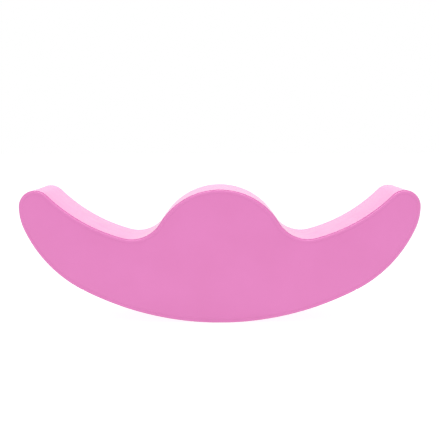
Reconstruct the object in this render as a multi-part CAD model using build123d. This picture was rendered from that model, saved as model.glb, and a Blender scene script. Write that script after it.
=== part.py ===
from build123d import *
import os
from math import asin, atan2, cos, degrees, hypot, pi, radians, sin, sqrt

# Soft-play rocker: a two-seat foam balance rocker in a sewn vinyl cover.
# Frame: +X along the rocker, +Y from its front side to its rear side, +Z up. The origin is on the
# floor, under the middle of the curved runner. All lengths are in millimetres, all turns in degrees.

# ---- Overall size -------------------------------------------------------------------------------
LENGTH = 1200.0
WIDTH = 300.0
HEIGHT = 402.0

# ---- Side outline, right half, as arcs that meet tangent to tangent -----------------------------
RUNNER_TURN = 27.3        # the runner arc reaches this far each side of the middle
HAUNCH_TURN = 38.5        # the tighter arc that lifts the runner towards the nose
HAUNCH_RADIUS = 385.0
FLANK_RADIUS = 162.0      # outer side of the nose, ending upright at full length
NOSE_RADIUS = 49.0
SEAT_RADIUS = 510.0       # long hollow between the nose and the lowest point of a seat
HOLLOW_RADIUS = 101.0     # tight hollow where a seat meets the hump
SEAT_HEIGHT = 253.0       # lowest point of a seat above the floor
HUMP_RADIUS = 208.0

# ---- Cover and foam -----------------------------------------------------------------------------
VINYL = 1.0               # coated fabric, as sewn
EDGE_ROLL = 8.0           # radius to which a side panel rolls over the foam's edge to its seam
PAD_THICKNESS = 20.0      # soft foam glued on the seats and the hump
BOARD_THICKNESS = 100.0   # the middle board; the outer boards take what is left

# ---- Zip in the middle of the runner ------------------------------------------------------------
ZIP_LENGTH = 800.0
ZIP_GAP = 12.0            # between the two folded edges of the runner strips
HEM = 10.0                # width of vinyl folded under along the zip
TAPE_THICKNESS = 0.6
TAPE_REACH = 16.0         # from the zip's centre line to the tape's outer edge
TAPE_GAP = 3.0            # between the two tapes, bridged by the coils
COIL_WIDTH = 2.5
COIL_TOP = 0.2            # the coil lies this far under the runner's surface
STOP_LENGTH = 3.0
BOTTOM_STOP_LENGTH = 4.0
PATCH_WIDTH = 48.0
PATCH_START = 6.5         # from the end of the chain

# ---- Slider and puller --------------------------------------------------------------------------
SLIDER_LENGTH = 12.0
SLIDER_TAIL = 3.8         # half width where the closed chain leaves
SLIDER_NOSE = 5.4         # half width where the two open coils enter
SLIDER_WALL = 1.0
PLATE = 0.9
PLAY = 0.2                # between the slider's plates and the chain
POST_HALF = 1.3           # half width of the post that parts the coils
PARK = 6.5                # from the slider's middle to the end of the chain when closed
CROWN_HALF = 1.0          # half width of the loop that carries the puller
CROWN_LENGTH = 7.0
CROWN_HEIGHT = 2.7
CROWN_BAR = 0.7
PIVOT_HEIGHT = 1.0        # from the outer plate to the puller's bar
BAR_RADIUS = 0.6
PULLER_LENGTH = 28.0
PULLER_WIDTH = 7.0
PULLER_THICKNESS = 1.2
PULLER_WINDOW = 4.5       # from the bar to the solid tab
PULLER_ARM = 1.2
PULLER_HOLE = 2.0
PULLER_EDGE = 0.3         # radius on the tab's edges

# ---- Where the arcs' centres lie ----------------------------------------------------------------
HALF_LENGTH = LENGTH / 2
HALF_WIDTH = WIDTH / 2
LOW_ANGLE = radians(RUNNER_TURN)
HIGH_ANGLE = radians(RUNNER_TURN + HAUNCH_TURN)
# The runner's radius is what makes the nose reach exactly half the length.
RUNNER_RADIUS = (
    HALF_LENGTH
    - HAUNCH_RADIUS * (sin(HIGH_ANGLE) - sin(LOW_ANGLE))
    - FLANK_RADIUS * (1 - sin(HIGH_ANGLE))
) / sin(LOW_ANGLE)


def stepped(centre, distance, angle):
    """The point at that distance from centre, at that polar angle in the XZ plane."""
    return (centre[0] + distance * cos(angle), centre[1] + distance * sin(angle))


def bearing(start, end):
    return atan2(end[1] - start[1], end[0] - start[0])


RUNNER_END = LOW_ANGLE - pi / 2
HAUNCH_END = HIGH_ANGLE - pi / 2
RUNNER_CENTRE = (0.0, RUNNER_RADIUS)
HAUNCH_CENTRE = stepped(RUNNER_CENTRE, RUNNER_RADIUS - HAUNCH_RADIUS, RUNNER_END)
FLANK_CENTRE = stepped(HAUNCH_CENTRE, HAUNCH_RADIUS - FLANK_RADIUS, HAUNCH_END)
NOSE_CENTRE = (HALF_LENGTH - NOSE_RADIUS, FLANK_CENTRE[1])
HUMP_CENTRE = (0.0, HEIGHT - HUMP_RADIUS)
HOLLOW_Z = SEAT_HEIGHT + HOLLOW_RADIUS
HOLLOW_CENTRE = (
    sqrt((HUMP_RADIUS + HOLLOW_RADIUS) ** 2 - (HOLLOW_Z - HUMP_CENTRE[1]) ** 2),
    HOLLOW_Z,
)


def seat_centre():
    """The seat arc touches the nose circle from outside and holds the hollow's circle inside."""
    to_nose = NOSE_RADIUS + SEAT_RADIUS
    to_hollow = SEAT_RADIUS - HOLLOW_RADIUS
    apart = hypot(HOLLOW_CENTRE[0] - NOSE_CENTRE[0], HOLLOW_CENTRE[1] - NOSE_CENTRE[1])
    along = (to_nose**2 - to_hollow**2 + apart**2) / (2 * apart)
    aside = sqrt(to_nose**2 - along**2)
    line = bearing(NOSE_CENTRE, HOLLOW_CENTRE)
    return stepped(stepped(NOSE_CENTRE, along, line), aside, line - pi / 2)


SEAT_CENTRE = seat_centre()


def arc(centre, radius, start, end, bulge):
    return {"centre": centre, "radius": radius, "start": start, "end": end, "bulge": bulge}


# Bulge is 1 where the outline is rounded outwards and -1 where it is hollow.
OUTLINE = {
    "runner": arc(RUNNER_CENTRE, RUNNER_RADIUS, -pi / 2, RUNNER_END, 1),
    "haunch": arc(HAUNCH_CENTRE, HAUNCH_RADIUS, RUNNER_END, HAUNCH_END, 1),
    "flank": arc(FLANK_CENTRE, FLANK_RADIUS, HAUNCH_END, 0.0, 1),
    "nose": arc(NOSE_CENTRE, NOSE_RADIUS, 0.0, bearing(NOSE_CENTRE, SEAT_CENTRE), 1),
    "seat": arc(
        SEAT_CENTRE,
        SEAT_RADIUS,
        bearing(SEAT_CENTRE, NOSE_CENTRE),
        bearing(SEAT_CENTRE, HOLLOW_CENTRE),
        -1,
    ),
    "hollow": arc(
        HOLLOW_CENTRE,
        HOLLOW_RADIUS,
        bearing(SEAT_CENTRE, HOLLOW_CENTRE),
        bearing(HOLLOW_CENTRE, HUMP_CENTRE),
        -1,
    ),
    "hump": arc(HUMP_CENTRE, HUMP_RADIUS, bearing(HUMP_CENTRE, HOLLOW_CENTRE), pi / 2, 1),
}
LOWER_ARCS = ("runner", "haunch", "flank")
SEAT_ARCS = ("nose", "seat", "hollow")
TOP_ARCS = SEAT_ARCS + ("hump",)
STRIP_ARCS = ("haunch", "flank") + TOP_ARCS


# ---- Outline, bands and the cover's envelope ----------------------------------------------------
def outline_point(name, angle, inset, side):
    a = OUTLINE[name]
    x, z = stepped(a["centre"], a["radius"] - a["bulge"] * inset, angle)
    return (side * x, z)


def outline_edges(names, inset, sides=(1, -1)):
    """The named arcs of the outline, moved inwards by inset, on the right and left halves."""
    edges = []
    for side in sides:
        for name in names:
            a = OUTLINE[name]
            turns = (a["start"], (a["start"] + a["end"]) / 2, a["end"])
            edges.append(ThreePointArc(*(outline_point(name, t, inset, side) for t in turns)))
    return edges


def across(name, end, outer, inner, side):
    """The short line across a band at the start or end of an arc."""
    angle = OUTLINE[name][end]
    return Line(*(outline_point(name, angle, inset, side) for inset in (outer, inner)))


def slab(edges, half_width):
    """The area inside the edges, drawn in the XZ plane and given a width along Y."""
    return extrude(Plane.XZ * make_face(edges), amount=half_width, both=True)


def band(names, outer, inner, half_width, sides=(1, -1)):
    """The strip between two insets of the named arcs. Over both sides it joins at the middle."""
    edges = outline_edges(names, outer, sides) + outline_edges(names, inner, sides)
    edges += [across(names[0], "start", outer, inner, side) for side in sides]
    if len(sides) == 1:
        edges.append(across(names[-1], "end", outer, inner, sides[0]))
    return slab(edges, half_width)


def envelope(inset):
    """The whole rocker, with both side edges rolled, moved inwards by inset."""
    half_width = HALF_WIDTH - inset
    block = slab(outline_edges(tuple(OUTLINE), inset), half_width)
    rims = block.faces().filter_by(Axis.Y).edges()
    return fillet(rims, EDGE_ROLL - inset)


def between(low_y, high_y):
    """A block that holds everything from low_y to high_y."""
    span = 2 * LENGTH
    return Pos(0, (low_y + high_y) / 2, 0) * Box(span, high_y - low_y, span)


# ---- Cover panels -------------------------------------------------------------------------------
SEAM_Y = HALF_WIDTH - EDGE_ROLL


def side_panels():
    """Front and rear panels: flat vinyl that rolls over the foam's edge as far as the seam."""
    shell = envelope(0.0) - envelope(VINYL)
    return shell & between(-WIDTH, -SEAM_Y), shell & between(SEAM_Y, WIDTH)


def long_strip():
    """One strip over both noses, both seats and the hump, from one end of the zip to the other."""
    return band(STRIP_ARCS, 0.0, VINYL, SEAM_Y)


# ---- Foam ---------------------------------------------------------------------------------------
def foam():
    """Three glued boards, and the soft pads on top. Both are cut from the cover's inside shape."""
    inside = envelope(VINYL)
    pad_floor = VINYL + PAD_THICKNESS
    edges = outline_edges(LOWER_ARCS, -VINYL) + outline_edges(TOP_ARCS, pad_floor)
    edges += [across("nose", "start", -VINYL, pad_floor, side) for side in (1, -1)]
    core = inside & slab(edges, WIDTH)
    half_board = BOARD_THICKNESS / 2
    front = core & between(-WIDTH, -half_board)
    middle = core & between(-half_board, half_board)
    rear = core & between(half_board, WIDTH)
    right = inside & band(SEAT_ARCS, -VINYL, pad_floor, WIDTH, (1,))
    left = inside & band(SEAT_ARCS, -VINYL, pad_floor, WIDTH, (-1,))
    hump = inside & band(("hump",), -VINYL, pad_floor, WIDTH)
    return front, middle - zip_channel(), rear, left, hump, right


# ---- Zip ----------------------------------------------------------------------------------------
# A turn about this axis carries a point of the runner towards +X.
RUNNER_AXIS = Axis((0, 0, RUNNER_RADIUS), (0, -1, 0))
TAPE_TOP = 2 * VINYL
COIL_BOTTOM = TAPE_TOP
TAPE_BOTTOM = TAPE_TOP + TAPE_THICKNESS
SLIDER_FLOOR = TAPE_BOTTOM + PLAY + PLATE
CHAIN_HALF = ZIP_LENGTH / 2


def turn_of(length):
    """The turn about the runner's axis that moves the runner's surface by that length."""
    return degrees(length / RUNNER_RADIUS)


PARK_TURN = turn_of(CHAIN_HALF - PARK)


def runner_band(outer, inner, low_y, high_y, start, end):
    """A strip that follows the runner between two insets, two values of Y and two turns."""
    section = Rectangle(high_y - low_y, inner - outer)
    section = Plane.YZ * Pos((low_y + high_y) / 2, (outer + inner) / 2) * section
    return revolve(section, RUNNER_AXIS, end - start).rotate(RUNNER_AXIS, start)


def both_sides(make, low_y, high_y):
    """The front piece and its mirror image at the rear, from one maker of a strip."""
    return make(-high_y, -low_y), make(low_y, high_y)


def runner_strips():
    """The two halves of the runner's cover, each with its edge folded under along the zip."""

    def strip(low_y, high_y):
        at_front = high_y < 0
        fold = (high_y - HEM, high_y) if at_front else (low_y, low_y + HEM)
        face = runner_band(0.0, VINYL, low_y, high_y, -RUNNER_TURN, RUNNER_TURN)
        return face + runner_band(VINYL, TAPE_TOP, *fold, -RUNNER_TURN, RUNNER_TURN)

    return both_sides(strip, ZIP_GAP / 2, SEAM_Y)


def zip_channel():
    """The room that the foam leaves for the tapes, and for the slider's inner plate."""
    under_tapes = TAPE_REACH + 1.0
    under_slider = SLIDER_NOSE + 1.0
    shallow = runner_band(-1.0, TAPE_BOTTOM, -under_tapes, under_tapes, -RUNNER_TURN, RUNNER_TURN)
    deep = runner_band(
        -1.0, SLIDER_FLOOR + 0.5, -under_slider, under_slider, -RUNNER_TURN + 0.5, RUNNER_TURN - 0.5
    )
    return shallow + deep


def zip_tapes():
    def tape(low_y, high_y):
        return runner_band(TAPE_TOP, TAPE_BOTTOM, low_y, high_y, -RUNNER_TURN, RUNNER_TURN)

    return both_sides(tape, TAPE_GAP / 2, TAPE_REACH)


def zip_coils():
    """Closed coils that meet on the centre line, then part round the parked slider's post."""
    start = -turn_of(CHAIN_HALF - BOTTOM_STOP_LENGTH)
    meet = -0.5
    overlap = 0.2
    parted = TAPE_GAP / 2
    skin = 0.05           # keeps the parted length's faces inside the closed length's

    def coil(side):
        straight = runner_band(
            COIL_TOP, COIL_BOTTOM, *sorted((0.0, side * COIL_WIDTH)), start, PARK_TURN + turn_of(meet)
        )
        plan = [
            (meet - overlap, 0.0),
            (POST_TIP, 0.0),
            (POST_WIDE, side * parted),
            (PARK, side * parted),
            (PARK, side * (parted + COIL_WIDTH)),
            (POST_WIDE, side * (parted + COIL_WIDTH)),
            (POST_TIP, side * COIL_WIDTH),
            (meet - overlap, side * COIL_WIDTH),
        ]
        fork = Pos(0, 0, COIL_TOP + skin) * extrude(
            make_face(Polyline(*plan, close=True)), amount=COIL_BOTTOM - COIL_TOP - 2 * skin
        )
        return straight + fork.rotate(RUNNER_AXIS, PARK_TURN)

    return coil(-1), coil(1)


def zip_stops():
    """Two top stops, one on each coil past the slider, and one bottom stop across both coils."""
    first = PARK_TURN + turn_of(PARK + PLAY)
    last = first + turn_of(STOP_LENGTH)
    inner, outer = POST_HALF + PLAY, TAPE_GAP / 2 + COIL_WIDTH + PLAY
    front, rear = both_sides(
        lambda low, high: runner_band(0.0, COIL_BOTTOM, low, high, first, last), inner, outer
    )
    reach = COIL_WIDTH + 0.7
    start = -turn_of(CHAIN_HALF)
    bottom = runner_band(0.0, COIL_BOTTOM, -reach, reach, start, start + turn_of(BOTTOM_STOP_LENGTH))
    return Compound([front, rear]), bottom


def end_patches():
    """Vinyl patches sewn over the two ends of the zip and into the cross seams."""
    start = turn_of(CHAIN_HALF + PATCH_START)
    half = PATCH_WIDTH / 2
    return (
        runner_band(-VINYL, 0.0, -half, half, -RUNNER_TURN, -start),
        runner_band(-VINYL, 0.0, -half, half, start, RUNNER_TURN),
    )


# ---- Slider and puller --------------------------------------------------------------------------
# Both are drawn at the bottom of the runner, where Z is the inset and outwards is down.
POST_TIP = -0.3
POST_WIDE = 3.2
NOSE_START = 2.0
OUTER_PLATE = COIL_TOP - PLAY - PLATE     # the outermost face of the slider's outer plate
PIVOT_Z = OUTER_PLATE - PIVOT_HEIGHT


def slider_plan(tail, nose, x_tail, x_nose):
    """The slider's outline from above: a narrow tail that widens to the nose."""
    right = [(x_tail, tail), (-NOSE_START, tail), (NOSE_START, nose), (x_nose, nose)]
    return make_face(Polyline(*right, *((x, -y) for x, y in reversed(right)), close=True))


def zip_slider():
    half = SLIDER_LENGTH / 2
    plan = slider_plan(SLIDER_TAIL, SLIDER_NOSE, -half, half)
    inside = slider_plan(
        SLIDER_TAIL - SLIDER_WALL, SLIDER_NOSE - SLIDER_WALL, -SLIDER_LENGTH, SLIDER_LENGTH
    )
    chamber_roof = OUTER_PLATE + PLATE
    flange_foot = TAPE_TOP - PLAY
    inner_plate = TAPE_BOTTOM + PLAY
    outer = Pos(0, 0, OUTER_PLATE) * extrude(plan, amount=flange_foot - OUTER_PLATE)
    outer -= Pos(0, 0, chamber_roof) * extrude(inside, amount=flange_foot)
    inner = Pos(0, 0, inner_plate) * extrude(plan, amount=PLATE)
    outer = fillet(outer.faces().sort_by(Axis.Z)[0].edges(), 0.35)
    inner = fillet(inner.faces().sort_by(Axis.Z)[-1].edges(), 0.35)
    wide = [(POST_TIP + 0.3, 0.0), (POST_WIDE, POST_HALF), (half - 0.5, POST_HALF)]
    post = make_face(Polyline(*wide, *((x, -y) for x, y in reversed(wide[1:])), close=True))
    post = Pos(0, 0, chamber_roof) * extrude(post, amount=inner_plate - chamber_roof)
    return (outer + inner + post + slider_crown()).rotate(RUNNER_AXIS, PARK_TURN)


def slider_crown():
    """The arched loop on the outer plate that the puller's bar lies in."""
    low = OUTER_PLATE - CROWN_HEIGHT
    arch = Pos(0, 0, (low + OUTER_PLATE) / 2) * Box(CROWN_LENGTH, 2 * CROWN_HALF, CROWN_HEIGHT)
    rim = arch.faces().sort_by(Axis.Z)[0].edges().filter_by(Axis.Y)
    arch = fillet(rim, 1.6)
    hole_length = CROWN_LENGTH - 2 * CROWN_BAR - 1.0
    hole_height = CROWN_HEIGHT - CROWN_BAR
    hole = Pos(0, 0, OUTER_PLATE - hole_height / 2) * Box(hole_length, 3 * CROWN_HALF, hole_height)
    hole = fillet(hole.faces().sort_by(Axis.Z)[0].edges().filter_by(Axis.Y), 0.8)
    return arch - hole


def zip_puller():
    """A tab that hangs straight down from the bar in the slider's crown."""
    bar_length = 2 * (CROWN_HALF + 0.3 + PULLER_ARM)
    bar = Cylinder(BAR_RADIUS, bar_length, rotation=(90, 0, 0))
    arm_y = CROWN_HALF + 0.3 + PULLER_ARM / 2
    reach = PULLER_WINDOW + 1.0
    arms = [
        Pos(0, side * arm_y, -reach / 2) * Box(PULLER_THICKNESS, PULLER_ARM, reach) for side in (1, -1)
    ]
    tab_length = PULLER_LENGTH - PULLER_WINDOW
    tab = Plane.YZ * Pos(0, -PULLER_WINDOW - tab_length / 2) * RectangleRounded(
        PULLER_WIDTH, tab_length, 2.0
    )
    eye = Plane.YZ * Pos(0, -PULLER_LENGTH + PULLER_WIDTH / 2 + 0.5) * Circle(PULLER_HOLE)
    tab = extrude(tab - eye, amount=PULLER_THICKNESS / 2, both=True)
    tab = fillet(tab.faces().filter_by(Axis.X).edges(), PULLER_EDGE)
    puller = bar + arms + tab
    x, z = stepped(RUNNER_CENTRE, RUNNER_RADIUS - PIVOT_Z, radians(PARK_TURN) - pi / 2)
    return Pos(x, 0, z) * puller


# ---- Writing the parts --------------------------------------------------------------------------
def all_parts():
    front_panel, rear_panel = side_panels()
    front_strip, rear_strip = runner_strips()
    front_tape, rear_tape = zip_tapes()
    front_coil, rear_coil = zip_coils()
    top_stops, bottom_stop = zip_stops()
    left_patch, right_patch = end_patches()
    front_board, middle_board, rear_board, left_pad, hump_pad, right_pad = foam()
    return {
        "front_side_panel": front_panel,
        "rear_side_panel": rear_panel,
        "long_boxing_strip": long_strip(),
        "runner_strip_front": front_strip,
        "runner_strip_rear": rear_strip,
        "foam_board_front": front_board,
        "foam_board_middle": middle_board,
        "foam_board_rear": rear_board,
        "seat_pad_left": left_pad,
        "seat_pad_right": right_pad,
        "hump_pad": hump_pad,
        "zip_tape_front": front_tape,
        "zip_tape_rear": rear_tape,
        "zip_coil_front": front_coil,
        "zip_coil_rear": rear_coil,
        "zip_top_stops": top_stops,
        "zip_bottom_stop": bottom_stop,
        "zip_end_patch_left": left_patch,
        "zip_end_patch_right": right_patch,
        "zip_slider": zip_slider(),
        "zip_puller": zip_puller(),
    }


os.makedirs("parts", exist_ok=True)
for node, shape in all_parts().items():
    export_step(shape, f"parts/{node}.step")
pivot_x, pivot_z = stepped(RUNNER_CENTRE, RUNNER_RADIUS - PIVOT_Z, radians(PARK_TURN) - pi / 2)
print(f"runner radius {RUNNER_RADIUS:.3f}, slider parked at {PARK_TURN:.3f} degrees")
print(f"puller pivot at x {pivot_x:.3f}, z {pivot_z:.3f}")
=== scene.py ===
import math
from collections import namedtuple

import bpy
import numpy as np
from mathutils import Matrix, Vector, geometry, kdtree


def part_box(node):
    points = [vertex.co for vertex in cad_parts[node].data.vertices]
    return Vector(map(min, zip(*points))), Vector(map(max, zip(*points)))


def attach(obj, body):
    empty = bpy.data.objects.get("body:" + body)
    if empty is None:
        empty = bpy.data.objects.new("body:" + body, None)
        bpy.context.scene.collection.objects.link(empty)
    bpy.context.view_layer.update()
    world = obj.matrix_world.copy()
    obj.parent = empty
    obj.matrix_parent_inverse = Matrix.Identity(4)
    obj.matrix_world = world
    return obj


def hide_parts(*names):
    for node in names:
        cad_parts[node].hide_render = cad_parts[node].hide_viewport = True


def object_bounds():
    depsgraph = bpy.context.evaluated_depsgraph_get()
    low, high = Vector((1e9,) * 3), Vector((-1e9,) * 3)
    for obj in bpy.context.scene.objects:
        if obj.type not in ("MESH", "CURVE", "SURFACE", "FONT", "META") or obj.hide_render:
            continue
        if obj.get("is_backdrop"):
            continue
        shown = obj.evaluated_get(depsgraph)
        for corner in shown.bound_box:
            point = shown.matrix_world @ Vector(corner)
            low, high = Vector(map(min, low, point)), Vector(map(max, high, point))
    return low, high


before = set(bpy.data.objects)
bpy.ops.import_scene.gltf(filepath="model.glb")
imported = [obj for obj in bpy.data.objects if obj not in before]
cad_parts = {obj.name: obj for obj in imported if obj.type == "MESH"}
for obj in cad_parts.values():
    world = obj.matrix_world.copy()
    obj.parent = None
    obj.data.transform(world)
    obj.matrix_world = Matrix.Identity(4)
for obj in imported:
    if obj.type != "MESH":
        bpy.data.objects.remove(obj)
cad_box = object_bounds()

# ---- Camera ------------------------------------------------------------------
# A long lens three metres in front of the rocker and a little above its top, tipped down by five
# degrees, so that the side panel is seen square on and the seats show only as narrow bands.
camera_place = (-0.0014, -3.132, 0.581)
camera_tip = math.radians(90 - 5.14)
camera_roll = math.radians(0.09)
camera_swing = math.radians(-0.02)
lens_length = 82.3


def into_scene(name, data):
    """A new object in the scene, which holds a camera, a lamp or a mesh."""
    thing = bpy.data.objects.new(name, data)
    bpy.context.scene.collection.objects.link(thing)
    return thing


camera = into_scene("camera", bpy.data.cameras.new("camera"))
camera.data.lens = lens_length
camera.location = camera_place
camera.rotation_euler = (camera_tip, camera_roll, camera_swing)
bpy.context.scene.camera = camera
bpy.context.scene.view_settings.view_transform = "Standard"

# ---- Studio: white surround, pale floor and three soft boxes -----------------
# The rocker stands on a seamless white floor in a white room, and most of the light is the room's
# own. A large soft box overhead and a narrow one behind give the vinyl on top its sheen, and a weak
# one beside the camera lifts the side panel.
floor_reach = 20.0
surround_strength = 1.0
floor_grey = 0.25
floor_glow = 0.88


def new_material(name):
    """A node material and its main shader."""
    material = bpy.data.materials.new(name)
    material.use_nodes = True
    return material, material.node_tree.nodes["Principled BSDF"]


def finished(material, shader, finish):
    """The material, with each named socket of its shader set to a value or linked to a node."""
    for name, value in finish.items():
        if isinstance(value, bpy.types.NodeSocket):
            shader.id_data.links.new(value, shader.inputs[name])
        else:
            shader.inputs[name].default_value = value
    return material


def mesh_object(name, points, faces):
    mesh = bpy.data.meshes.new(name)
    mesh.from_pydata([tuple(p) for p in points], [], faces)
    return into_scene(name, mesh)


surround = bpy.data.worlds.new("white_surround")
surround.use_nodes = True
surround.node_tree.nodes["Background"].inputs["Color"].default_value = (1.0, 1.0, 1.0, 1.0)
surround.node_tree.nodes["Background"].inputs["Strength"].default_value = surround_strength
bpy.context.scene.world = surround


def soft_box(name, place, aim, size, power):
    """A rectangular lamp that hangs at a place and points at another."""
    lamp = into_scene(name, bpy.data.lights.new(name, "AREA"))
    lamp.data.shape = "RECTANGLE"
    lamp.data.size, lamp.data.size_y = size
    lamp.data.energy = power
    lamp.location = place
    lamp.rotation_euler = (Vector(aim) - Vector(place)).to_track_quat("-Z", "Y").to_euler()


soft_box("overhead_box", place=(0.0, 0.2, 2.6), aim=(0.0, 0.0, 0.2), size=(3.0, 1.6), power=40.0)
soft_box("rim_box", place=(0.0, 1.6, 2.6), aim=(0.0, 0.0, 0.3), size=(2.4, 0.4), power=8.0)
soft_box("front_box", place=(-1.4, -3.0, 1.6), aim=(0.0, 0.0, 0.2), size=(1.6, 1.6), power=1.0)

floor_ends = ((-1, -1, 0), (1, -1, 0), (1, 1, 0), (-1, 1, 0))
floor = mesh_object("floor", floor_reach * np.array(floor_ends), [(0, 1, 2, 3)])
floor_finish = {
    "Base Color": (floor_grey, floor_grey, floor_grey, 1.0),
    "Roughness": 0.9,
    "Emission Color": (1.0, 1.0, 1.0, 1.0),
    "Emission Strength": floor_glow,
}
floor.data.materials.append(finished(*new_material("white_floor"), floor_finish))
floor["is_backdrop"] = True

# ---- Foam core: three boards -------------------------------------------------
# Three boards of closed-cell foam, cut to one outline and glued side by side. The outline is arcs
# that meet tangent to tangent, and the two outer boards are rounded along their outer edge.
half_length = round(cad_box[1].x, 3)
half_width = round(cad_box[1].y, 3)
height = 0.402
runner_turn = math.radians(27.3)
haunch_turn = math.radians(38.5)
haunch_radius = 0.385
flank_radius = 0.162
nose_radius = 0.049
seat_radius = 0.510
hollow_radius = 0.101
seat_height = 0.253
hump_radius = 0.208
vinyl_thickness = 0.001
pad_thickness = 0.020
foam_rounding = 0.018
foam_edge = 0.0015        # the small rounding where two boards meet
rounding_rings = 6
seam_press = 0.0050       # how deep a cross seam presses into the foam under it
press_reach = 0.008
press_shares = np.array((0.33, 0.67, 1.0))
board_step = 0.012        # between rings of points round the outline
board_face_step = 0.024   # between points on a board's flat face

Arc = namedtuple("Arc", "centre radius start end bulge")


def heading(turn):
    """The unit step in a direction in the XZ plane."""
    return np.array((math.cos(turn), math.sin(turn)))


def bearing(start, end):
    """The direction from one place to another in the XZ plane."""
    return math.atan2(end[1] - start[1], end[0] - start[0])


def outline_arcs():
    """The right half of the outline, from the middle of the runner to the top of the hump."""
    steep = runner_turn + haunch_turn
    radius = (
        half_length
        - haunch_radius * (math.sin(steep) - math.sin(runner_turn))
        - flank_radius * (1 - math.sin(steep))
    ) / math.sin(runner_turn)
    quarter = math.pi / 2
    runner = np.array((0.0, radius))
    haunch = runner + (radius - haunch_radius) * heading(runner_turn - quarter)
    flank = haunch + (haunch_radius - flank_radius) * heading(steep - quarter)
    nose = np.array((half_length - nose_radius, flank[1]))
    hump = np.array((0.0, height - hump_radius))
    hollow_rise = seat_height + hollow_radius - hump[1]
    hollow_x = math.sqrt((hump_radius + hollow_radius) ** 2 - hollow_rise**2)
    hollow = np.array((hollow_x, seat_height + hollow_radius))
    # The seat's centre is one known distance from the nose's and another from the hollow's.
    to_nose, to_hollow = nose_radius + seat_radius, seat_radius - hollow_radius
    apart = np.linalg.norm(hollow - nose)
    along = (to_nose**2 - to_hollow**2 + apart**2) / (2 * apart)
    line = bearing(nose, hollow)
    seat = nose + along * heading(line)
    seat = seat + math.sqrt(to_nose**2 - along**2) * heading(line - quarter)
    return {
        "runner": Arc(runner, radius, -quarter, runner_turn - quarter, 1),
        "haunch": Arc(haunch, haunch_radius, runner_turn - quarter, steep - quarter, 1),
        "flank": Arc(flank, flank_radius, steep - quarter, 0.0, 1),
        "nose": Arc(nose, nose_radius, 0.0, bearing(nose, seat), 1),
        "seat": Arc(seat, seat_radius, bearing(seat, nose), bearing(seat, hollow), -1),
        "hollow": Arc(hollow, hollow_radius, bearing(seat, hollow), bearing(hollow, hump), -1),
        "hump": Arc(hump, hump_radius, bearing(hump, hollow), quarter, 1),
    }


outline = outline_arcs()
end_names = ("haunch", "flank")
lower_names = ("runner", *end_names)
seat_names = ("nose", "seat", "hollow")
top_names = (*seat_names, "hump")


def right_side(names):
    return [outline[name] for name in names]


def left_side(names):
    """The mirror image of the named arcs, walked the other way, so that a route goes on to it."""
    mirrored = []
    for name in reversed(names):
        arc = outline[name]
        centre = arc.centre * (-1, 1)
        mirrored.append(arc._replace(centre=centre, start=math.pi - arc.end, end=math.pi - arc.start))
    return mirrored


def route_length(arcs):
    return sum(abs(arc.end - arc.start) * arc.radius for arc in arcs)


def trace(arcs, along):
    """Places on arcs laid end to end, in the XZ plane, and the way outwards at each."""
    lengths = np.array([abs(arc.end - arc.start) * arc.radius for arc in arcs])
    ends = np.cumsum(lengths)
    which = np.minimum(np.searchsorted(ends, along), len(arcs) - 1)
    centres, radii, starts, stops, bulges = (np.array(part)[which] for part in zip(*arcs))
    turns = starts + np.sign(stops - starts) * (along - ends[which] + lengths[which]) / radii
    outwards = np.stack((np.cos(turns), np.sin(turns)), axis=1)
    return centres + radii[:, None] * outwards, bulges[:, None] * outwards


def raised(places, outwards, insets, ys):
    """Rows of points in space, one row per place, at insets from the outline and at values of Y."""
    flat = places[:, None, :] - insets[..., None] * outwards[:, None, :]
    ys = np.broadcast_to(ys, insets.shape)
    return np.stack((flat[..., 0], ys, flat[..., 1]), axis=-1)


def in_space(ways):
    """Directions in the XZ plane as directions in space."""
    return np.stack((ways[:, 0], 0 * ways[:, 0], ways[:, 1]), axis=1)


def add_piece(name, points, faces, material, sharp=40):
    """A smooth-shaded mesh that rides on the rocker, with edges of over sharp degrees kept hard."""
    piece = mesh_object(name, np.asarray(points).reshape(-1, 3), faces)
    piece.data.validate()
    piece.data.shade_smooth()
    piece.data.set_sharp_from_angle(angle=math.radians(sharp))
    piece.data.materials.append(material)
    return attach(piece, "rocker")


def filled(loop, spacing):
    """The inside of a flat closed loop as triangles. Gives the new points and all the faces."""
    least, most = loop.min(axis=0), loop.max(axis=0)
    clearance = 0.6 * spacing
    row_gap = spacing * math.sqrt(0.75)      # the height of a triangle with equal sides
    points = [
        (x + spacing / 2 * (row % 2), z)
        for row, z in enumerate(np.arange(least[1], most[1], row_gap))
        for x in np.arange(least[0], most[0], spacing)
    ]
    points = np.array(points)
    before = np.roll(loop, 1, axis=0)
    rising = (loop[:, 1] > points[:, None, 1]) != (before[:, 1] > points[:, None, 1])
    drop = np.where(loop[:, 1] == before[:, 1], 1.0, before[:, 1] - loop[:, 1])
    share = (points[:, None, 1] - loop[:, 1]) / drop
    crossing = loop[:, 0] + share * (before[:, 0] - loop[:, 0])
    inside = (rising & (points[:, None, 0] < crossing)).sum(axis=1) % 2 == 1
    clear = np.linalg.norm(points[:, None, :] - loop, axis=2).min(axis=1) > clearance
    new = points[inside & clear]
    corners = [Vector(p) for p in np.vstack((loop, new))]
    edges = [(k, (k + 1) % len(loop)) for k in range(len(loop))]
    inside_only, tolerance = 1, 1e-7
    result = geometry.delaunay_2d_cdt(corners, edges, [], inside_only, tolerance)
    faces, sources = result[2], result[3]
    return new, [[sources[point][0] for point in face] for face in faces]


def ring_faces(count, rows, first=0, flip=False):
    """Quads between neighbouring closed rings of count points each."""
    faces = []
    for row in range(rows - 1):
        for k in range(count):
            a, b = first + row * count + k, first + row * count + (k + 1) % count
            faces.append((b, a, a + count, b + count) if flip else (a, b, b + count, a + count))
    return faces


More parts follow.
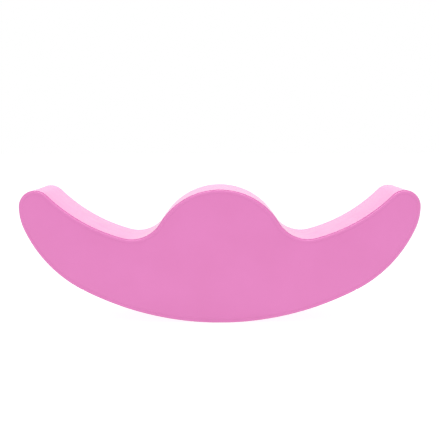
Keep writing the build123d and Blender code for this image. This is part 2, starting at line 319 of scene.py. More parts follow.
def closed_rings(rings, ys, spacing):
    """The points and faces of a solid: closed rings, one at each value of Y, and two flat ends."""
    count = rings.shape[1]
    faces = ring_faces(count, len(rings), flip=True)
    parts = [rings.reshape(-1, 3)]
    for end, flip in ((0, False), (len(rings) - 1, True)):
        new, cap = filled(rings[end][:, [0, 2]], spacing)
        first = sum(len(part) for part in parts)
        parts.append(np.column_stack((new[:, 0], np.full(len(new), ys[end]), new[:, 1])))
        for face in cap:
            corners = [end * count + c if c < count else first + c - count for c in face]
            faces.append(corners[::-1] if flip else corners)
    return np.vstack(parts), faces


def pattern(shader, kind, scale, mapping=None, **inputs):
    """A procedural texture in the piece's own coordinates, which mapping may turn or stretch."""
    tree = shader.id_data
    node = tree.nodes.new(f"ShaderNodeTex{kind}")
    for name, value in {"Scale": scale, **inputs}.items():
        node.inputs[name].default_value = value
    place = tree.nodes.new("ShaderNodeTexCoord").outputs["Object"]
    if mapping:
        mapped = tree.nodes.new("ShaderNodeMapping")
        for name, value in mapping.items():
            mapped.inputs[name].default_value = value
        tree.links.new(place, mapped.inputs["Vector"])
        place = mapped.outputs["Vector"]
    tree.links.new(place, node.inputs["Vector"])
    return node


def coloured(source, dark, light, start=0.0, end=1.0):
    """A colour that goes from dark to light while the source goes from start to end."""
    tree = source.id_data
    ramp = tree.nodes.new("ShaderNodeValToRGB")
    for stop, colour, position in zip(ramp.color_ramp.elements, (dark, light), (start, end)):
        stop.color = (*colour, 1.0)
        stop.position = position
    tree.links.new(source, ramp.inputs["Fac"])
    return ramp.outputs["Color"]


def ranged(source, low, high, start=0.0, end=1.0):
    """A number that goes from low to high while the source goes from start to end."""
    tree = source.id_data
    spread = tree.nodes.new("ShaderNodeMapRange")
    for name, value in (("From Min", start), ("From Max", end), ("To Min", low), ("To Max", high)):
        spread.inputs[name].default_value = value
    tree.links.new(source, spread.inputs["Value"])
    return spread.outputs["Result"]


def embossed(source, depth, strength=1.0, over=None):
    """A surface raised by the source, and laid over another such surface if one is given."""
    tree = source.id_data
    bump = tree.nodes.new("ShaderNodeBump")
    bump.inputs["Distance"].default_value = depth
    bump.inputs["Strength"].default_value = strength
    tree.links.new(source, bump.inputs["Height"])
    if over is not None:
        tree.links.new(over, bump.inputs["Normal"])
    return bump.outputs["Normal"]


def foam_material(name, light, dark, cell):
    """Foam with round cells of one size: darker between them, and a little dented."""
    material, shader = new_material(name)
    cells = pattern(shader, "Voronoi", 1 / cell).outputs["Distance"]
    finish = {
        "Base Color": coloured(cells, dark, light, end=0.6),
        "Normal": embossed(cells, cell / 4, strength=0.6),
        "Roughness": 0.85,
        "Specular IOR Level": 0.25,
    }
    return finished(material, shader, finish)


board_foam = foam_material(
    "closed_cell_foam", light=(0.80, 0.80, 0.78), dark=(0.62, 0.62, 0.61), cell=0.0022
)
# Half of the channel under the zip: (Y, 0, depth). It has room for the tapes, then for the slider.
zip_channel = [(-0.0170, 0, 0.0), (-0.0170, 0, 0.0016), (-0.0064, 0, 0.0016), (-0.0064, 0, 0.0032)]


def board_outline():
    """The boards' own loop: just inside the cover below, and a pad's thickness lower on top. Gives
    places, outward ways and insets, then the shares of the edge rounding and the zip channel."""
    under_pad = vinyl_thickness + pad_thickness
    parts = []
    for arcs, inset, rounding, channel, seam_at in (
        (right_side(("runner",)), vinyl_thickness, 1.0, 1.0, 1),
        (right_side(end_names), vinyl_thickness, 1.0, 0.0, 0),
        (right_side(top_names) + left_side(top_names), under_pad, 0.2, 0.0, None),
        (left_side(end_names), vinyl_thickness, 1.0, 0.0, 1),
        (left_side(("runner",)), vinyl_thickness, 1.0, 1.0, 0),
    ):
        total = route_length(arcs)
        along = np.linspace(0, total, round(total / board_step))
        insets = np.full(len(along), inset)
        if seam_at is not None:
            near = abs(seam_at * total - press_reach * press_shares)
            along = np.unique(np.concatenate((along, near)))
            away = np.abs(along - seam_at * total) / press_reach
            insets = inset + seam_press * np.clip(1 - away, 0, 1) ** 2
        places, outwards = trace(arcs, along)
        shares = [np.full(len(places), value) for value in (rounding, channel)]
        parts.append((places, outwards, insets, *shares))
    keep = slice(0, -1)       # the last point is the first one again
    return [np.concatenate(part)[keep] for part in zip(*parts)]


def foam_board(name, low_y, high_y):
    """A board from one value of Y to another, rounded where it meets the cover's side panel."""
    places, outwards, insets, rounding, channel = board_outline()
    turns = np.linspace(0, math.pi / 2, rounding_rings)
    rings = []
    for y, sense in ((low_y, 1), (high_y, -1)):
        outer = abs(y) > half_width - 2 * vinyl_thickness
        radius = foam_rounding if outer else foam_edge
        ring = [(y + sense * radius * (1 - math.cos(t)), radius * (1 - math.sin(t)), 0) for t in turns]
        rings += ring if sense > 0 else ring[::-1]
    if low_y < 0 < high_y:
        across_zip = [(-y, 0, depth) for y, _, depth in zip_channel[::-1]]
        rings[rounding_rings:rounding_rings] = zip_channel + across_zip
    ys, cut, groove = np.array(rings).T
    insets = insets[:, None] + cut * rounding[:, None] + groove * channel[:, None]
    points = raised(places, outwards, insets, ys).transpose(1, 0, 2)
    board = add_piece(name, *closed_rings(points, ys, board_face_step), board_foam)
    return board


for place in ("front", "middle", "rear"):
    low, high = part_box(f"foam_board_{place}")
    board = foam_board(f"core_board_{place}", low.y, high.y)
    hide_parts(f"foam_board_{place}")

# ---- Soft pads on the seats and the hump -------------------------------------
# Open-cell foam, 20 mm thick, glued over the boards from nose to nose in three lengths. The long
# edges are trimmed to the same roll as the boards, so that the cover's side edge is round all over.
pad_foam = foam_material(
    "open_cell_foam", light=(0.86, 0.79, 0.58), dark=(0.70, 0.62, 0.42), cell=0.0012
)
pad_step = 0.008
pad_columns = 24
pad_turns = 7


def tube_faces(count, rows, first=0):
    """Quads between neighbouring closed rings of count points each, and a flat face on each end."""
    last = first + (rows - 1) * count
    ends = [tuple(range(first, first + count))[::-1], tuple(range(last, last + count))]
    return ring_faces(count, rows, first) + ends


def swept(name, arcs, along, section, material):
    """A closed solid: a closed section of (Y, inset) points, carried along arcs, with flat ends."""
    places, outwards = trace(arcs, along)
    ys, insets = (np.broadcast_to(part, (len(along), part.shape[-1])) for part in section)
    points = raised(places, outwards, insets, ys)
    return add_piece(name, points, tube_faces(insets.shape[1], len(along)), material)


def pad_section():
    """Counter-clockwise, seen along the pad: the underside, one side, the top and the other side."""
    side = half_width - vinyl_thickness
    top, under = vinyl_thickness, vinyl_thickness + pad_thickness
    turns = np.linspace(0, math.pi / 2, pad_turns)
    roll_y = side - foam_rounding * (1 - np.sin(turns))
    roll_inset = top + foam_rounding * (1 - np.cos(turns))
    flat_y = np.linspace(-side + foam_rounding, side - foam_rounding, pad_columns)[1:-1]
    under_y = np.linspace(-side + foam_edge, side - foam_edge, pad_columns)
    top_y = np.concatenate((-roll_y[::-1], flat_y, roll_y))
    top_inset = np.concatenate((roll_inset[::-1], np.full(len(flat_y), top), roll_inset))
    ys = np.concatenate((top_y, (side, side), under_y[::-1], (-side, -side)))
    low_side = (under - 2 * foam_edge, under - foam_edge)
    insets = np.concatenate((top_inset, low_side, np.full(len(under_y), under), low_side[::-1]))
    return ys, insets


for name, arcs in (
    ("seat_pad_right", right_side(seat_names)),
    ("hump_pad", right_side(("hump",)) + left_side(("hump",))),
    ("seat_pad_left", left_side(seat_names)),
):
    total = route_length(arcs)
    along = np.linspace(0, total, round(total / pad_step))
    pad = swept(f"soft_{name}", arcs, along, pad_section(), pad_foam)
    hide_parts(name)

# ---- Cover: how the vinyl stands off the foam --------------------------------
# The cover is sewn a little smaller than the foam, so the seams sit hard on the foam's edges and
# the vinyl between them stands out in a low crown. A coarse cover, held at its two seams and blown
# out by a cloth simulation, gives that crown for all the panels.
edge_roll = 0.008
seam_turn = math.radians(60)       # how far round the roll the side seam lies
blank_step = 0.014
blank_side_rows = (0.0220, 0.0145, 0.0077)
blank_columns = 11
blank_pressure = 4.0
blank_frames = 20
side_crown = 0.0040
strip_crown = 0.0025
neighbours = 6            # points of the coarse cover that move a point of the fine one
blur = 0.001              # keeps a coarse point that lies very near from ruling alone
whole_loop = right_side(lower_names + top_names) + left_side(lower_names + top_names)
loop_length = route_length(whole_loop)


def wrap(distance):
    """Where the vinyl lies at a distance from the side seam: negative runs on to the side panel,
    positive on to the strip. Gives the depth behind the side face, the inset from the outline and
    the outward lean in those two directions."""
    turn = np.clip(seam_turn + distance / edge_roll, 0, math.pi / 2)
    past_side = np.minimum(seam_turn + distance / edge_roll, 0) * edge_roll
    past_top = np.maximum(seam_turn + distance / edge_roll - math.pi / 2, 0) * edge_roll
    depth = edge_roll * (1 - np.cos(turn)) + past_top
    inset = edge_roll * (1 - np.sin(turn)) - past_side
    return depth, inset, -np.cos(turn), -np.sin(turn)


strip_reach = half_width - edge_roll + edge_roll * (math.pi / 2 - seam_turn)


def blown_cover():
    """The rest place of each point of the coarse cover, and how far it moves."""
    count = round(loop_length / blank_step)
    places, outwards = trace(whole_loop, np.arange(count) * loop_length / count)
    side_rows = -np.array(blank_side_rows)
    across = np.linspace(0, strip_reach, blank_columns)
    depth, inset, _, _ = wrap(np.concatenate((side_rows, across)))
    ys = np.concatenate((depth - half_width, (half_width - depth)[-2::-1]))
    insets = np.concatenate((inset, inset[-2::-1]))
    points = raised(places, outwards, np.tile(insets, (count, 1)), ys).transpose(1, 0, 2)
    rest, faces = closed_rings(points, ys, blank_step)
    blank = mesh_object("blank", rest, faces)
    held = blank.vertex_groups.new(name="seams")
    seam_ring = len(side_rows)
    for ring in (seam_ring, len(ys) - 1 - seam_ring):
        held.add(list(range(ring * count, (ring + 1) * count)), 1.0, "REPLACE")
    cloth = blank.modifiers.new("cloth", "CLOTH")
    cloth.settings.vertex_group_mass = "seams"
    cloth.settings.use_pressure = True
    cloth.settings.uniform_pressure_force = blank_pressure
    cloth.settings.effector_weights.gravity = 0.0
    cloth.settings.tension_stiffness = 40.0
    cloth.settings.compression_stiffness = 40.0
    cloth.settings.bending_stiffness = 4.0
    cloth.point_cache.frame_start = 1
    cloth.point_cache.frame_end = blank_frames
    for step in range(1, blank_frames + 1):
        bpy.context.scene.frame_set(step)
    blown = blank.evaluated_get(bpy.context.evaluated_depsgraph_get()).to_mesh()
    final = np.array([v.co for v in blown.vertices])
    blank.to_mesh_clear()
    bpy.data.objects.remove(blank)
    bpy.context.scene.frame_set(1)
    return rest, final - rest


rest_points, moves = blown_cover()
on_side = np.abs(rest_points[:, 1]) > half_width - vinyl_thickness
for chosen, limit in ((on_side, side_crown), (~on_side, strip_crown)):
    most = np.linalg.norm(moves[chosen], axis=1).max()
    moves[chosen] *= limit / max(most, limit)
blank_tree = kdtree.KDTree(len(rest_points))
for index, point in enumerate(rest_points):
    blank_tree.insert(point, index)
blank_tree.balance()


def crowned(points, share=1.0):
    """The points moved as the coarse cover moves near them. Nothing goes under the floor."""
    flat = points.reshape(-1, 3)
    moved = np.empty_like(flat)
    for k, point in enumerate(flat):
        near = blank_tree.find_n(point, neighbours)
        weights = np.array([1 / (gap**2 + blur**2) for _, _, gap in near])
        moved[k] = weights @ moves[[index for _, index, _ in near]] / weights.sum()
    result = points + np.broadcast_to(share, points.shape[:-1])[..., None] * moved.reshape(points.shape)
    result[..., 2] = np.maximum(result[..., 2], 0.0)
    return result


# ---- Side panels of the cover ------------------------------------------------
# Coated polyester, a millimetre thick, cut to the outline with room for the seams. Each panel rolls
# over the foam's edge and is sewn to the strips from inside; the turned-in seam allowance shows
# through as a faint line a centimetre in from the edge, and the thread draws small puckers.
vinyl_skin = 0.9 * vinyl_thickness
seam_depth = 0.0046
seam_fold = 0.0036
bead_height = 0.0011      # the rounded edge of the panel, just inside the seam
bead_distance = -0.0050
bead_width = 0.0028
ghost_depth = 0.0008      # the faint line of the seam allowance
ghost_distance = -0.0105
ghost_width = 0.0022
pucker_height = 0.00022
pucker_fade = 0.007
pucker_waves = ((0.5, 0.0145), (0.3, 0.0215), (0.2, 0.0470))     # share and length of each
panel_step = 0.0045
panel_face_step = 0.009
panel_roll_rows = 9
panel_rows = np.array((0.7, 1.4, 2.1, 2.8, 3.5, 4.2, 5, 6, 7.5, 10, 13.5, 18, 23)) * 0.001
fold_shares = np.array((0.0, 0.03, 0.12, 0.3, 0.6, 1.0))


def folded_down(distance, reach):
    """How far the vinyl turns down into a seam at a distance from it, if it starts to at reach."""
    t = np.clip(np.abs(distance) / reach, 0, 1)
    return seam_depth * (1 - np.sqrt(t * (2 - t)))


def puckers(along, seed):
    """Uneven small waves along a seam, from -1 to 1."""
    start = np.random.default_rng(seed).uniform(0, 2 * math.pi, 3)
    return sum(
        share * np.sin(2 * math.pi * along / wave + angle)
        for (share, wave), angle in zip(pucker_waves, start)
    )


def swell(distance, centre, width):
    """1 on a line at a distance, falling off smoothly to both sides of it."""
    return np.exp(-(((distance - centre) / width) ** 2))


def vinyl():
    """Pink coated fabric: fine leather grain, a slightly uneven sheen and colour, soft gloss."""
    deep_pink, bright_pink = (0.664, 0.158, 0.438), (0.680, 0.166, 0.456)
    material, shader = new_material("pink_vinyl")
    tint = pattern(shader, "Noise", 7.0, Detail=3.0).outputs["Fac"]
    rub = pattern(shader, "Noise", 18.0, Detail=4.0).outputs["Fac"]
    drift = pattern(shader, "Noise", 22.0, Detail=2.0, Roughness=0.4).outputs["Fac"]
    grain = pattern(shader, "Voronoi", 950.0)
    grain.feature = "SMOOTH_F1"
    grained = embossed(grain.outputs["Distance"], 0.00012, strength=0.35)
    finish = {
        "Base Color": coloured(tint, deep_pink, bright_pink, start=0.35, end=0.65),
        "Roughness": ranged(rub, 0.36, 0.44, start=0.3, end=0.7),
        "Normal": embossed(drift, 0.0006, strength=0.5, over=grained),
        "Coat Weight": 0.68,
        "Coat Roughness": 0.25,
    }
    return finished(material, shader, finish)


pink_vinyl = vinyl()


def side_panel(name, side, seed):
    """side is -1 for the front panel and 1 for the rear one."""
    count = round(loop_length / panel_step)
    along = np.arange(count) * loop_length / count
    places, outwards = trace(whole_loop, along)
    roll = np.linspace(seam_fold, seam_turn * edge_roll, panel_roll_rows)[1:]
    face = seam_turn * edge_roll + panel_rows
    distance = -np.concatenate((fold_shares * seam_fold, roll, face))
    depth, inset, lean_depth, lean_inset = wrap(distance)
    lift = -folded_down(distance, seam_fold)
    lift += bead_height * swell(distance, bead_distance, bead_width)
    lift -= ghost_depth * swell(distance, ghost_distance, ghost_width)
    wave = puckers(along, seed)[:, None] * pucker_height * np.exp(distance / pucker_fade)
    height_out = lift + wave
    insets = inset + lean_inset * height_out
    ys = side * (half_width - depth - lean_depth * height_out)
    rim = raised(places, outwards, insets, ys).transpose(1, 0, 2)
    new, cap = filled(rim[-1][:, [0, 2]], panel_face_step)
    inside = np.column_stack((new[:, 0], np.full(len(new), side * half_width), new[:, 1]))
    points = crowned(np.vstack((rim.reshape(-1, 3), inside)))
    faces = ring_faces(count, len(rim), flip=side > 0)
    first = (len(rim) - 1) * count
    for face in cap:
        corners = [first + c for c in face]
        faces.append(corners[::-1] if side > 0 else corners)
    panel = add_piece(name, points, faces, pink_vinyl)
    thickness = panel.modifiers.new("vinyl_thickness", "SOLIDIFY")
    thickness.thickness = vinyl_skin
    thickness.offset = -1.0
    return panel


for name, node, side, seed in (
    ("cover_side_front", "front_side_panel", -1, 11),
    ("cover_side_rear", "rear_side_panel", 1, 12),
):
    panel = side_panel(name, side, seed)
    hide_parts(node)

# ---- Long strip over the noses, the seats and the hump -----------------------
# One length of the same vinyl, sewn between the side panels. It starts at the right end of the
# runner, goes over both noses, both seats and the hump, and ends at the left end of the runner.
# Its ridge beside each side seam is the seam allowance underneath.
strip_fold = 0.0026       # the strips turn down more tightly than the side panels do
fold_steps = fold_shares * strip_fold
ridge_height = 0.0005
ridge_distance = 0.0038
ridge_width = 0.0022
strip_step = 0.0045
cross_share = 0.75        # how deep the cross seams are, next to the side seams
near_rows = np.array((2.9, 3.3, 3.8, 4.4, 5.1, 5.8, 6.6, 7.6, 9.0, 11, 13.5, 17, 22)) * 0.001
far_start = 0.028
across_step = 0.011


def strip_rows(last=strip_reach):
    """Distances from the side seam, close together near it, out to the middle of the strip."""
    far = np.linspace(far_start, last, round((last - far_start) / across_step))
    return np.concatenate((fold_steps, near_rows, far))


def strip_lift(distance, along, seed):
    """How far a strip stands off its plain shape near a side seam: fold, ridge and puckers."""
    ridge = ridge_height * swell(distance, ridge_distance, ridge_width)
    wave = puckers(along, seed)[:, None] * pucker_height * np.exp(-distance / pucker_fade)
    return ridge - folded_down(distance, strip_fold) + wave


def end_fold(along, total, distance):
    """How far a strip turns down into the cross seam at each of its ends. Beside a side seam it is
    down already."""
    share = cross_share * (1 - folded_down(distance, strip_fold) / seam_depth)
    return share * folded_down(np.minimum(along, total - along), strip_fold)[:, None]


def along_strip(total):
    """Places along a strip of a given length, close together at the cross seams at its ends."""
    middle = np.linspace(strip_fold, total - strip_fold, round(total / strip_step))
    return np.concatenate((fold_steps[:-1], middle, (total - fold_steps[:-1])[::-1]))


def two_sided(name, outer, inner, material):
    """A piece with rows of points on its outer face and the same rows on its inner one."""
    points = np.concatenate((outer, inner[:, ::-1]), axis=1)
    rows, count = points.shape[:2]
    faces = ring_faces(count, rows)
    half = count // 2
    for row, flip in ((0, True), (rows - 1, False)):
        first = row * count
        for k in range(half - 1):
            quad = (first + k, first + k + 1, first + count - 2 - k, first + count - 1 - k)
            faces.append(quad[::-1] if flip else quad)
    return add_piece(name, points, faces, material)


def long_strip():
    """The strip and its length from one cross seam to the other."""
    arcs = right_side(end_names + top_names) + left_side(end_names + top_names)
    total = route_length(arcs)
    along = along_strip(total)
    places, outwards = trace(arcs, along)
    rows = strip_rows()
    depth, inset, lean_depth, lean_inset = wrap(rows)
    ends = end_fold(along, total, rows)
    insets, ys = [], []
    for seed in (11, 12):
        lift = strip_lift(rows, along, seed)
        insets.append(inset + lean_inset * lift + ends)
        ys.append(half_width - depth - lean_depth * lift)
    outer_inset = np.concatenate((insets[0], insets[1][:, -2::-1]), axis=1)
    outer_y = np.concatenate((-ys[0], ys[1][:, -2::-1]), axis=1)
    outer = crowned(raised(places, outwards, outer_inset, outer_y))
    inner = outer - vinyl_skin * in_space(outwards)[:, None, :]
    return two_sided("cover_long_strip", outer, inner, pink_vinyl), total


strip, strip_length = long_strip()
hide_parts("long_boxing_strip")

# ---- Runner strips under the rocker ------------------------------------------
# The runner is covered by two lengths of the vinyl, front and rear, sewn to the side panels and, at
# both ends, to the long strip. Along the middle each edge is folded under and sewn to a zip tape
# with two rows of lockstitch, which draws the vinyl down a little.
zip_gap = 0.012
hem_width = 0.010
hem_rows = (0.0088, 0.0134)
stitch_dent = 0.0005
dent_width = 0.0006
stitch_pitch = 0.0046
stitch_length = 0.0037
thread_radius = 0.00025
stitch_points = 7
stitch_sink = 0.0011      # how far each end of a stitch dips into the vinyl
thread_rise = 0.8         # how much of its radius a thread stands out of its dent
crown_start = 0.014
crown_full = 0.060
hem_zone = 0.026          # the rows close up this near to the middle
hem_zone_rows = np.array((22, 18, 15.6, 14.4, 13.9, 13.4, 12.9, 12.4, 11.4, 9.8, 9.3, 8.8, 8.3, 7.8, 7))
hem_turns = 9
hem_under_rows = 6

runner_arcs = left_side(("runner",)) + right_side(("runner",))
runner_length = route_length(runner_arcs)


def hem_chain():
    """Up to the zip, round the fold and back under the vinyl: distance from the middle of the
    runner, inset, and the way to the other face of the vinyl in those two directions."""
    flat = hem_zone_rows * 0.001
    turns = np.linspace(0, math.pi, hem_turns)[1:]
    fold_y = zip_gap / 2 + vinyl_thickness * (1 - np.sin(turns))
    fold_inset = vinyl_thickness * (1 - np.cos(turns))
    under_y = np.linspace(fold_y[-1], zip_gap / 2 + hem_width, hem_under_rows)[1:]
    ys = np.concatenate((flat, fold_y, under_y))
    insets = np.concatenate((0 * flat, fold_inset, np.full(len(under_y), 2 * vinyl_thickness)))
    to_y = np.concatenate((0 * flat, np.sin(turns), 0 * under_y))
    to_inset = np.concatenate((1 + 0 * flat, np.cos(turns), -1 + 0 * under_y))
    return ys, insets, to_y, to_inset


def runner_strip(name, side, seed):
    """side is -1 for the front strip and 1 for the rear one."""
    along = along_strip(runner_length)
    places, outwards = trace(runner_arcs, along)
    rows = strip_rows(strip_reach - hem_zone)
    depth, inset, lean_depth, lean_inset = wrap(rows)
    lift = strip_lift(rows, along, seed)
    hem_y, hem_inset, to_y, to_inset = hem_chain()
    for row in hem_rows:
        hem_inset = hem_inset + stitch_dent * swell(hem_y, row, dent_width) * (to_inset == 1)
    shape = (len(along), len(hem_y))
    edge_y = half_width - depth - lean_depth * lift
    ys = np.concatenate((edge_y, np.broadcast_to(hem_y, shape)), axis=1)
    insets = np.concatenate((inset + lean_inset * lift, np.broadcast_to(hem_inset, shape)), axis=1)
    from_seam = np.concatenate((rows, np.full(len(hem_y), strip_reach)))
    insets = insets + end_fold(along, runner_length, from_seam)
    share = np.clip((ys - crown_start) / (crown_full - crown_start), 0, 1)
    outer = crowned(raised(places, outwards, insets, side * ys), share)
    across = np.concatenate((np.zeros(len(rows)), side * to_y))
    inwards = np.concatenate((np.ones(len(rows)), to_inset))
    through = -inwards[:, None] * in_space(outwards)[:, None, :]
    through[..., 1] += across
    inner = outer + vinyl_skin * through
    if side > 0:
        outer, inner = outer[:, ::-1], inner[:, ::-1]
    return two_sided(name, outer, inner, pink_vinyl)


for name, side, seed in (("front", -1, 11), ("rear", 1, 12)):
    strip = runner_strip(f"cover_runner_{name}", side, seed)
    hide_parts(f"runner_strip_{name}")


def tubes(name, centres, across, radius, material, sides=6):
    """Closed tubes in one mesh, each along its own row of centres. across points to one side."""
    ahead = np.gradient(centres, axis=1)
    ahead /= np.linalg.norm(ahead, axis=2, keepdims=True)
    up = np.cross(ahead, across)
    up /= np.linalg.norm(up, axis=2, keepdims=True)
    over = np.cross(up, ahead)
    turns = (np.arange(sides) * 2 * math.pi / sides)[:, None]
    ring = np.cos(turns) * over[:, :, None] + np.sin(turns) * up[:, :, None]
    count, length = centres.shape[:2]
    radius = np.broadcast_to(radius, (length,))[:, None, None]
    faces = []
    for first in range(0, count * length * sides, length * sides):
        faces += tube_faces(sides, length, first)
    return add_piece(name, centres[:, :, None] + radius * ring, faces, material, sharp=80)


def thread_material():
    """Bonded polyester thread: two fine plies twisted together, in the vinyl's own pink."""
    material, shader = new_material("pink_thread")
    twist = pattern(shader, "Wave", 900.0)
    twist.bands_direction = "DIAGONAL"
    plies = twist.outputs["Fac"]
    finish = {
        "Base Color": coloured(plies, (0.60, 0.16, 0.40), (0.78, 0.26, 0.55)),
        "Normal": embossed(plies, 0.00008),
        "Roughness": 0.55,
        "Sheen Weight": 0.3,
    }
    return finished(material, shader, finish)


pink_thread = thread_material()


def stitches(name, along, ys, headings, base):
    """A lockstitch at each place, seen from outside: a thread that comes up, lies flat in its dent
    and goes down again. along and ys are the middles, and base the inset the thread lies at."""
    t = np.linspace(-1, 1, stitch_points)
    reach = stitch_length / 2 * t
    run = (along[:, None] + reach * np.cos(headings)[:, None]).ravel()
    y = (ys[:, None] + reach * np.sin(headings)[:, None]).reshape(-1, 1)
    sunk = base[:, None] + stitch_sink * np.abs(t) ** 5 - thread_rise * thread_radius
    places, outwards = trace(runner_arcs, run)
    centres = raised(places, outwards, sunk.reshape(-1, 1), y)
    centres = centres.reshape(len(along), len(t), 3)
    out = in_space(outwards).reshape(centres.shape)
    return tubes(name, centres, out, thread_radius, pink_thread)


for name, side in (("front", -1), ("rear", 1)):
    middles = np.arange(stitch_pitch, runner_length - stitch_pitch, stitch_pitch)
    along = np.tile(middles, len(hem_rows))
    ys = np.repeat(side * np.array(hem_rows), len(middles))
    sewing = stitches(f"hem_stitching_{name}", along, ys, 0 * along, np.full(len(along), stitch_dent))

# ---- Zip tapes ---------------------------------------------------------------
# Woven polyester tape, a little over half a millimetre thick, with a denser selvedge at its outer
# edge and a cord along the inner one, where the coil is sewn on. It runs from cross seam to cross
# seam under the folded edges of the vinyl.
tape_inset = 0.00205
tape_thickness = 0.00055
tape_edge = 0.016
tape_start = 0.0016
tape_step = 0.006
tape_cord = 0.00012       # how far the cord raises the tape over it
cord_place = 0.0023
cord_width = 0.0006
tape_rows = np.concatenate((np.linspace(tape_start, 0.0032, 6), np.linspace(0.004, tape_edge, 13)))


def tape_material():
    """Pink herringbone weave: two sets of fine ribs that cross at right angles."""
    material, shader = new_material("woven_tape")
    tree = shader.id_data
    cross = tree.nodes.new("ShaderNodeMath")
    cross.operation = "MAXIMUM"
    for turn, ribs in zip((math.radians(45), math.radians(-45)), cross.inputs):
        bands = pattern(shader, "Wave", 420.0, {"Rotation": (0.0, 0.0, turn)}, Distortion=0.6)
        tree.links.new(bands.outputs["Fac"], ribs)
    weave = cross.outputs["Value"]
    finish = {
        "Base Color": coloured(weave, (0.50, 0.12, 0.33), (0.72, 0.22, 0.50)),
        "Normal": embossed(weave, 0.00015),
        "Roughness": 0.8,
        "Sheen Weight": 0.4,
    }
    return finished(material, shader, finish)


woven_tape = tape_material()


def zip_tape(name, side):
    """side is -1 for the front tape and 1 for the rear one."""
    along = np.linspace(0, runner_length, round(runner_length / tape_step))
    places, outwards = trace(runner_arcs, along)
    insets = np.tile(tape_inset - tape_cord * swell(tape_rows, cord_place, cord_width), (len(along), 1))
    outer = raised(places, outwards, insets, side * tape_rows)
    under = np.full_like(insets, tape_inset + tape_thickness)
    inner = raised(places, outwards, under, side * tape_rows)
    if side < 0:
        outer, inner = outer[:, ::-1], inner[:, ::-1]
    return two_sided(name, outer, inner, woven_tape)


for name, side in (("front", -1), ("rear", 1)):
    tape = zip_tape(f"woven_tape_{name}", side)
    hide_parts(f"zip_tape_{name}")

# ---- Zip coils ---------------------------------------------------------------
# Each half of the chain is one nylon monofilament, wound into a flattened coil whose heads lock into
# the other coil's on the centre line. They run from the bottom stop to the parked slider, where the
# slider's post parts them.
chain_half = 0.400
bottom_stop_length = 0.004
park = 0.0065             # from the parked slider's middle to the end of the chain
coil_pitch = 0.0017
coil_points = 18          # of one turn
bend_points = 9           # of one of its two round ends
filament_radius = 0.00032
coil_inner = 0.00045      # how far a head reaches past the centre line
coil_outer = 0.0025
coil_top = 0.00025
coil_bottom = 0.00198
parting = 0.0015          # how far each coil moves aside at the slider's post
post_tip = -0.0003        # where that starts and ends, from the parked slider's middle
post_wide = 0.0032


def coil_material():
    """Dyed nylon, glossy on the heads and faintly uneven from the die."""
    material, shader = new_material("nylon_filament")
    cloud = pattern(shader, "Noise", 700.0, Detail=3.0).outputs["Fac"]
    finish = {
        "Base Color": coloured(cloud, (0.60, 0.15, 0.40), (0.76, 0.24, 0.53)),
        "Roughness": ranged(cloud, 0.28, 0.42),
        "Normal": embossed(cloud, 0.00004, strength=0.3),
    }
    return finished(material, shader, finish)


nylon_filament = coil_material()


def coil_turn():
    """One turn of the flattened coil, as (distance from the centre line, inset)."""
    end_radius = (coil_bottom - coil_top) / 2 - filament_radius
    middle = (coil_top + coil_bottom) / 2
    near = -coil_inner + filament_radius + end_radius
    far = coil_outer - filament_radius - end_radius
    corners = []
    for centre, start in ((near, math.pi / 2), (far, -math.pi / 2)):
        for turn in np.linspace(start, start + math.pi, bend_points):
            corners.append((centre + end_radius * math.cos(turn), middle - end_radius * math.sin(turn)))
    corners = np.array(corners + corners[:1])
    gaps = np.linalg.norm(np.diff(corners, axis=0), axis=1)
    passed = np.concatenate(((0,), np.cumsum(gaps)))
    wanted = np.arange(coil_points) * passed[-1] / coil_points
    return np.interp(wanted, passed, corners[:, 0]), np.interp(wanted, passed, corners[:, 1])


def zip_coil(name, side, lead):
    """lead is how far along the chain this coil's first turn is set off from the other's."""
    start = -chain_half + bottom_stop_length
    turns = math.floor((chain_half - start - lead) / coil_pitch)
    ys, insets = (np.tile(part, turns) for part in coil_turn())
    run = start + lead + np.arange(turns * coil_points) * coil_pitch / coil_points
    local = run - (chain_half - park)
    ys = ys + parting * np.clip((local - post_tip) / (post_wide - post_tip), 0, 1)
    places, outwards = trace(runner_arcs, run + runner_length / 2)
    centres = raised(places, outwards, insets[:, None], side * ys[:, None])[:, 0]
    ahead = in_space(outwards[:, ::-1] * (-1, 1))
    return tubes(name, centres[None], ahead[None], filament_radius, nylon_filament)


for name, side, lead in (("front", -1, 0.0), ("rear", 1, coil_pitch / 2)):
    coil = zip_coil(f"wound_coil_{name}", side, lead)
    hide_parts(f"zip_coil_{name}")

# ---- End patches over the zip ------------------------------------------------
# A piece of the vinyl with two round corners, laid over each end of the zip. One edge is caught in
# the cross seam and the other three are sewn down three millimetres in.
patch_half_width = 0.024
patch_start = chain_half + 0.0065
patch_corner = 0.006
patch_sewing = 0.003
patch_round = 0.0007
patch_rim = 0.25          # how much of its thickness the patch keeps at its very edge
patch_length = runner_length / 2 - patch_start
patch_edge_rows = np.array((0, 0.08, 0.2, 0.4, 0.7, 1.1, 1.7, 2.3, 2.7, 3.0, 3.3, 3.8, 4.6, 5.6)) * 0.001
patch_seam_rows = np.concatenate((fold_steps, [0.0045]))
sewing_stop = 0.004       # from the cross seam to the ends of the stitching
corner_points = 7


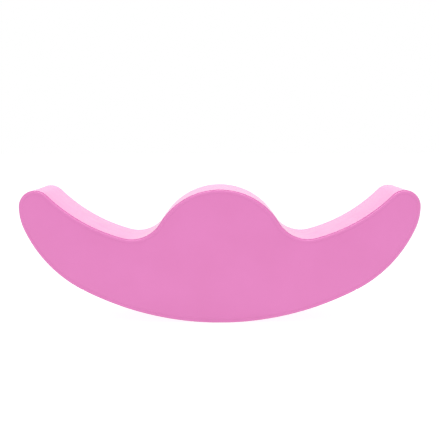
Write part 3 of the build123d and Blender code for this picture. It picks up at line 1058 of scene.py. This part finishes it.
def end_patch(name, side):
    """side is 1 for the patch at the right end and -1 for the one at the left end."""
    seam = patch_length - patch_seam_rows[::-1]
    run = np.concatenate((patch_edge_rows, np.linspace(0.0067, seam[0] - 0.001, 8), seam))
    round_off = np.clip(patch_corner - run, 0, patch_corner)
    reach = patch_half_width - patch_corner + np.sqrt(patch_corner**2 - round_off**2)
    half = np.concatenate((patch_edge_rows, np.linspace(0.0068, patch_half_width, 12)))
    share = 1 - half / patch_half_width
    ys = reach[:, None] * np.concatenate((-share, share[-2::-1]))
    rim_gap = np.minimum(reach[:, None] - np.abs(ys), run[:, None])
    rim = np.sqrt(1 - (1 - np.clip(rim_gap / patch_round, 0, 1)) ** 2)
    dent = stitch_dent * swell(rim_gap, patch_sewing, dent_width)
    sunk = cross_share * folded_down(patch_length - run, strip_fold)[:, None]
    insets = -vinyl_thickness * (patch_rim + (1 - patch_rim) * rim) + dent + sunk
    along = runner_length / 2 + side * (patch_start + run)
    if side < 0:
        along, ys, insets, sunk = along[::-1], ys[::-1], insets[::-1], sunk[::-1]
    places, outwards = trace(runner_arcs, along)
    outer = raised(places, outwards, insets, ys)
    inner = raised(places, outwards, np.broadcast_to(sunk, ys.shape), ys)
    return two_sided(name, outer, inner, pink_vinyl)


def patch_stitching(name, side):
    """One row of stitches from the cross seam, round the three sewn edges and back to the seam."""
    half = patch_half_width - patch_sewing
    radius = patch_corner - patch_sewing
    turns = np.linspace(0, math.pi / 2, corner_points)
    run = np.concatenate(([patch_length - sewing_stop], patch_sewing + radius * (1 - np.sin(turns))))
    ys = np.concatenate(([half], half - radius * (1 - np.cos(turns))))
    run, ys = np.concatenate((run, run[::-1])), np.concatenate((ys, -ys[::-1]))
    passed = np.concatenate(((0,), np.cumsum(np.hypot(np.diff(run), np.diff(ys)))))
    total = passed[-1]
    half_pitch = stitch_pitch / 2
    middles = np.linspace(half_pitch, total - half_pitch, round(total / stitch_pitch))
    look = 0.001              # how far to both sides of a stitch its heading is taken from
    run_step, y_step = (
        np.interp(middles + look, passed, part) - np.interp(middles - look, passed, part)
        for part in (run, ys)
    )
    headings = np.arctan2(y_step, side * run_step)
    along = runner_length / 2 + side * (patch_start + np.interp(middles, passed, run))
    base = np.full(len(middles), stitch_dent - vinyl_thickness)
    return stitches(name, along, np.interp(middles, passed, ys), headings, base)


for name, side in (("right", 1), ("left", -1)):
    patch = end_patch(f"cover_patch_{name}", side)
    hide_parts(f"zip_end_patch_{name}")
    sewing = patch_stitching(f"patch_stitching_{name}", side)

# ---- Slider, puller and stops ------------------------------------------------
# The slider and its puller are die-cast zinc, nickel plated and polished, with fine scratches where
# they rub. The stops are crimped from soft aluminium and stay satin, with coarser marks.
edge_softening = 0.00012


def metal_material(name, light, dark, smooth, rough, scratch_scale, scratch_depth):
    """Metal between two roughnesses, with scratches that run mostly one way."""
    material, shader = new_material(name)
    drawn = {"Scale": (1.0, 1.0, 0.12)}
    lines = pattern(shader, "Noise", scratch_scale, drawn, Detail=5.0, Roughness=0.65).outputs["Fac"]
    finish = {
        "Base Color": coloured(lines, dark, light, start=0.35, end=0.6),
        "Roughness": ranged(lines, rough, smooth, start=0.35, end=0.65),
        "Normal": embossed(lines, scratch_depth, strength=0.4),
        "Metallic": 1.0,
    }
    return finished(material, shader, finish)


nickel = metal_material(
    "polished_nickel",
    light=(0.72, 0.71, 0.69),
    dark=(0.64, 0.63, 0.61),
    smooth=0.14,
    rough=0.26,
    scratch_scale=900.0,
    scratch_depth=0.000004,
)
aluminium = metal_material(
    "crimped_aluminium",
    light=(0.62, 0.62, 0.63),
    dark=(0.48, 0.48, 0.49),
    smooth=0.35,
    rough=0.50,
    scratch_scale=700.0,
    scratch_depth=0.00002,
)
for name, metal in (
    ("zip_slider", nickel),
    ("zip_puller", nickel),
    ("zip_top_stops", aluminium),
    ("zip_bottom_stop", aluminium),
):
    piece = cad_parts[name]
    piece.data.materials.clear()
    piece.data.materials.append(metal)
    softened = piece.modifiers.new("softened_edges", "BEVEL")
    softened.width = edge_softening
    softened.segments = 2
    softened.limit_method = "ANGLE"
    softened.angle_limit = math.radians(35)

low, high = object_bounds()
